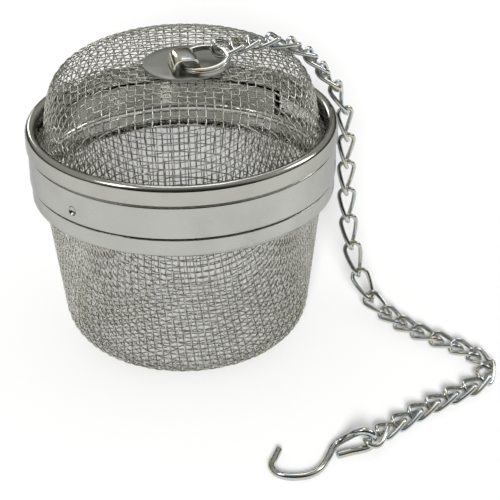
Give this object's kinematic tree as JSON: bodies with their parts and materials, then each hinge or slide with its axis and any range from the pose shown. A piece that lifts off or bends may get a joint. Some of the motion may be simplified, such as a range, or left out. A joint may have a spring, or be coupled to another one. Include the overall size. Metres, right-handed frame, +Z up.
{
  "type": "tea infuser",
  "caption": "Round woven-wire tea infuser: tapered mesh cup, twist-on domed mesh lid with a rolled rim, and a curb chain from a split ring to an open wire hook.",
  "frame": {"origin": "centre of the cup's flat bottom, on the surface that it stands on", "axes": "+Z up along the axis of the cup and lid; the chain hangs beside the cup at +X and lies out towards -Y"},
  "size_m": [0.1111, 0.1089, 0.0787],
  "materials": {
    "cloth_steel": "woven stainless wire, bright at the crossings",
    "band_steel": "pressed stainless sheet, satin with fine horizontal brushing",
    "rim_steel": "rolled stainless edge, polished by wear",
    "disc_steel": "punched stainless disc, matt",
    "strap_steel": "bent stainless strip, polished over its arch",
    "ring_steel": "spring steel split ring, polished",
    "chain_steel": "bright plated steel wire",
    "hook_steel": "bright plated steel wire"
  },
  "bodies": {
    "basket": {"basket_mesh": "cloth_steel", "basket_collar": "band_steel", "basket_neck": "band_steel"},
    "lid_ring": {"lid_rim": "rim_steel"},
    "lid": {"lid_band": "band_steel", "lid_mesh": "cloth_steel", "anchor_disc": "disc_steel", "anchor_strap": "strap_steel"},
    "ring": {"split_ring": "ring_steel"},
    "link_01_body": {"link_01": "chain_steel"},
    "link_02_body": {"link_02": "chain_steel"},
    "link_03_body": {"link_03": "chain_steel"},
    "link_04_body": {"link_04": "chain_steel"},
    "link_05_body": {"link_05": "chain_steel"},
    "link_06_body": {"link_06": "chain_steel"},
    "link_07_body": {"link_07": "chain_steel"},
    "link_08_body": {"link_08": "chain_steel"},
    "link_09_body": {"link_09": "chain_steel"},
    "link_10_body": {"link_10": "chain_steel"},
    "link_11_body": {"link_11": "chain_steel"},
    "link_12_body": {"link_12": "chain_steel"},
    "link_13_body": {"link_13": "chain_steel"},
    "link_14_body": {"link_14": "chain_steel"},
    "link_15_body": {"link_15": "chain_steel"},
    "link_16_body": {"link_16": "chain_steel"},
    "link_17_body": {"link_17": "chain_steel"},
    "link_18_body": {"link_18": "chain_steel"},
    "link_19_body": {"link_19": "chain_steel"},
    "link_20_body": {"link_20": "chain_steel"},
    "link_21_body": {"link_21": "chain_steel"},
    "link_22_body": {"link_22": "chain_steel"},
    "link_23_body": {"link_23": "chain_steel"},
    "link_24_body": {"link_24": "chain_steel"},
    "link_25_body": {"link_25": "chain_steel"},
    "link_26_body": {"link_26": "chain_steel"},
    "link_27_body": {"link_27": "chain_steel"},
    "link_28_body": {"link_28": "chain_steel"},
    "link_29_body": {"link_29": "chain_steel"},
    "link_30_body": {"link_30": "chain_steel"},
    "hook_body": {"hook": "hook_steel"}
  },
  "joints": [
    {"name": "lid_lift", "type": "slide", "parent": "basket", "child": "lid_ring", "axis": [0, 0, 1], "range_m": [0, 0.06]},
    {"name": "lid_twist", "type": "hinge", "parent": "lid_ring", "child": "lid", "pos_m": [0, 0, 0.0467], "axis": [0, 0, -1], "range_deg": [0, 30]},
    {"name": "ring_turn", "type": "hinge", "parent": "lid", "child": "ring", "pos_m": [0.0056, -0.009, 0.076], "axis": [0, 0, 1], "range_deg": [-5, 5]},
    {"name": "link_01_swing", "type": "hinge", "parent": "ring", "child": "link_01_body", "pos_m": [0.00914, -0.00479, 0.07672], "axis": [0, 0, -1], "range_deg": [-5, 5]},
    {"name": "link_02_swing", "type": "hinge", "parent": "link_01_body", "child": "link_02_body", "pos_m": [0.01343, -0.00146, 0.07592], "axis": [0, 0, 1], "range_deg": [-5, 5]},
    {"name": "link_03_swing", "type": "hinge", "parent": "link_02_body", "child": "link_03_body", "pos_m": [0.01764, 0.00198, 0.07515], "axis": [0, 0, -1], "range_deg": [-5, 5]},
    {"name": "link_04_swing", "type": "hinge", "parent": "link_03_body", "child": "link_04_body", "pos_m": [0.02234, 0.00466, 0.07434], "axis": [0, 0, 1], "range_deg": [-5, 5]},
    {"name": "link_05_swing", "type": "hinge", "parent": "link_04_body", "child": "link_05_body", "pos_m": [0.0272, 0.00625, 0.07236], "axis": [0, 0, -1], "range_deg": [-5, 5]},
    {"name": "link_06_swing", "type": "hinge", "parent": "link_05_body", "child": "link_06_body", "pos_m": [0.0313, 0.00754, 0.06897], "axis": [0, 0, 1], "range_deg": [-5, 5]},
    {"name": "link_07_swing", "type": "hinge", "parent": "link_06_body", "child": "link_07_body", "pos_m": [0.03447, 0.00851, 0.0646], "axis": [0, 0, -1], "range_deg": [-5, 5]},
    {"name": "link_08_swing", "type": "hinge", "parent": "link_07_body", "child": "link_08_body", "pos_m": [0.03752, 0.00929, 0.06009], "axis": [0, 0, 1], "range_deg": [-5, 5]},
    {"name": "link_09_swing", "type": "hinge", "parent": "link_08_body", "child": "link_09_body", "pos_m": [0.04005, 0.00981, 0.0532], "axis": [0, 0, -1], "range_deg": [-5, 5]},
    {"name": "link_10_swing", "type": "hinge", "parent": "link_09_body", "child": "link_10_body", "pos_m": [0.04056, 0.01007, 0.04583], "axis": [0, 0, 1], "range_deg": [-5, 5]},
    {"name": "link_11_swing", "type": "hinge", "parent": "link_10_body", "child": "link_11_body", "pos_m": [0.0406, 0.01012, 0.03843], "axis": [0, 0, -1], "range_deg": [-5, 5]},
    {"name": "link_12_swing", "type": "hinge", "parent": "link_11_body", "child": "link_12_body", "pos_m": [0.04065, 0.0099, 0.03103], "axis": [0, 0, 1], "range_deg": [-5, 5]},
    {"name": "link_13_swing", "type": "hinge", "parent": "link_12_body", "child": "link_13_body", "pos_m": [0.04101, 0.00933, 0.02366], "axis": [0, 0, -1], "range_deg": [-5, 5]},
    {"name": "link_14_swing", "type": "hinge", "parent": "link_13_body", "child": "link_14_body", "pos_m": [0.04188, 0.00836, 0.01638], "axis": [0, 0, 1], "range_deg": [-5, 5]},
    {"name": "link_15_swing", "type": "hinge", "parent": "link_14_body", "child": "link_15_body", "pos_m": [0.04349, 0.00655, 0.0094], "axis": [0, 0, -1], "range_deg": [-5, 5]},
    {"name": "link_16_swing", "type": "hinge", "parent": "link_15_body", "child": "link_16_body", "pos_m": [0.04636, 0.00275, 0.00386], "axis": [0, 0, 1], "range_deg": [-5, 5]},
    {"name": "link_17_swing", "type": "hinge", "parent": "link_16_body", "child": "link_17_body", "pos_m": [0.04977, -0.00149, 0.00206], "axis": [0, 0, -1], "range_deg": [-5, 5]},
    {"name": "link_18_swing", "type": "hinge", "parent": "link_17_body", "child": "link_18_body", "pos_m": [0.05302, -0.00624, 0.00161], "axis": [0, 0, 1], "range_deg": [-5, 5]},
    {"name": "link_19_swing", "type": "hinge", "parent": "link_18_body", "child": "link_19_body", "pos_m": [0.05677, -0.01063, 0.00159], "axis": [0, 0, -1], "range_deg": [-5, 5]},
    {"name": "link_20_swing", "type": "hinge", "parent": "link_19_body", "child": "link_20_body", "pos_m": [0.06101, -0.01456, 0.0016], "axis": [0, 0, 1], "range_deg": [-5, 5]},
    {"name": "link_21_swing", "type": "hinge", "parent": "link_20_body", "child": "link_21_body", "pos_m": [0.06536, -0.01836, 0.0016], "axis": [0, 0, -1], "range_deg": [-5, 5]},
    {"name": "link_22_swing", "type": "hinge", "parent": "link_21_body", "child": "link_22_body", "pos_m": [0.06922, -0.02264, 0.0016], "axis": [0, 0, 1], "range_deg": [-5, 5]},
    {"name": "link_23_swing", "type": "hinge", "parent": "link_22_body", "child": "link_23_body", "pos_m": [0.07136, -0.02793, 0.0016], "axis": [0, 0, -1], "range_deg": [-5, 5]},
    {"name": "link_24_swing", "type": "hinge", "parent": "link_23_body", "child": "link_24_body", "pos_m": [0.07006, -0.03344, 0.0016], "axis": [0, 0, 1], "range_deg": [-5, 5]},
    {"name": "link_25_swing", "type": "hinge", "parent": "link_24_body", "child": "link_25_body", "pos_m": [0.06602, -0.03751, 0.0016], "axis": [0, 0, -1], "range_deg": [-5, 5]},
    {"name": "link_26_swing", "type": "hinge", "parent": "link_25_body", "child": "link_26_body", "pos_m": [0.0612, -0.0407, 0.0016], "axis": [0, 0, 1], "range_deg": [-5, 5]},
    {"name": "link_27_swing", "type": "hinge", "parent": "link_26_body", "child": "link_27_body", "pos_m": [0.05645, -0.04399, 0.0016], "axis": [0, 0, -1], "range_deg": [-5, 5]},
    {"name": "link_28_swing", "type": "hinge", "parent": "link_27_body", "child": "link_28_body", "pos_m": [0.05192, -0.04758, 0.0016], "axis": [0, 0, 1], "range_deg": [-5, 5]},
    {"name": "link_29_swing", "type": "hinge", "parent": "link_28_body", "child": "link_29_body", "pos_m": [0.04763, -0.05145, 0.00161], "axis": [0, 0, -1], "range_deg": [-5, 5]},
    {"name": "link_30_swing", "type": "hinge", "parent": "link_29_body", "child": "link_30_body", "pos_m": [0.04364, -0.05559, 0.00204], "axis": [0, 0, 1], "range_deg": [-5, 5]},
    {"name": "hook_swing", "type": "hinge", "parent": "link_30_body", "child": "hook_body", "pos_m": [0.04115, -0.05988, 0.00271], "axis": [0, 0, 1], "range_deg": [-30, 30]}
  ]
}
